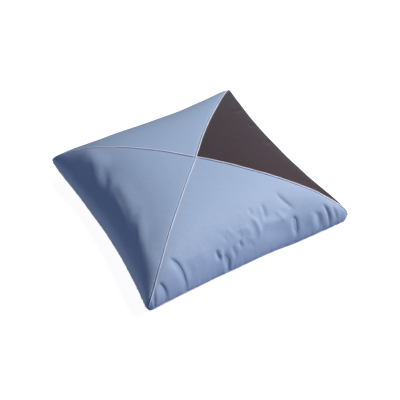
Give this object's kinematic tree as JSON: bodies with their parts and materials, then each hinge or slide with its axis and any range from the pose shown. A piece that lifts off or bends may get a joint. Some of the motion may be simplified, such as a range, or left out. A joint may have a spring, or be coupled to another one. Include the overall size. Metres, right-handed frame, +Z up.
{
  "type": "throw cushion",
  "caption": "Square throw cushion with a crowned top of triangular cotton panels, light blue and dark brown, joined by thin pink piping along its diagonals.",
  "frame": {"origin": "middle of the flat patch that the cushion rests on", "axes": "+Z up out of the crowned top; X and Y along the sides, with the dark panel at +X and the deeply creased panel at -Y"},
  "size_m": [0.4794, 0.479, 0.1361],
  "materials": {
    "light_blue_cotton": "smooth satin-weave cotton, light blue",
    "dark_brown_cotton": "smooth satin-weave cotton, dark brown",
    "back_cotton": "smooth satin-weave cotton, light blue",
    "pink_piping": "satin bias tape over a thin cord, pale pink"
  },
  "bodies": {
    "root": {"filled_cushion": "back_cotton", "panel_front": "light_blue_cotton", "panel_left": "light_blue_cotton", "panel_rear": "light_blue_cotton", "panel_right": "dark_brown_cotton", "piping_long": "pink_piping", "piping_to_near_corner": "pink_piping", "piping_to_far_corner": "pink_piping"}
  },
  "joints": []
}
